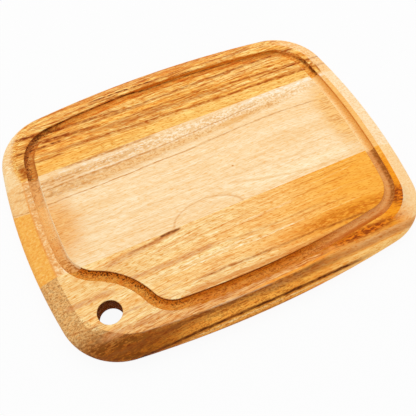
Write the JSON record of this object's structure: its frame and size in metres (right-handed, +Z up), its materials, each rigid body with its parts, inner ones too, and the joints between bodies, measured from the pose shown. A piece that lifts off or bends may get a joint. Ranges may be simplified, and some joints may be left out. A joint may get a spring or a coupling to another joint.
{
  "type": "steak board",
  "caption": "Wooden steak board with bowed sides, round corners, a bevelled rim, a juice groove round the top and a hanging hole at the front left.",
  "frame": {"origin": "middle of the board's outline, on the underside", "axes": "+X along the grain, from the end with the hanging hole to the other end; +Y from the front edge, where the hole is, to the back edge; +Z up out of the grooved top"},
  "size_m": [0.356, 0.2784, 0.0195],
  "materials": {
    "dark_wood": "oiled orange-brown heartwood",
    "pale_wood": "oiled pale cream sapwood",
    "honey_wood": "oiled honey-orange wood"
  },
  "bodies": {
    "root": {"back_stave": "dark_wood", "middle_stave": "pale_wood", "front_stave": "honey_wood"}
  },
  "joints": []
}
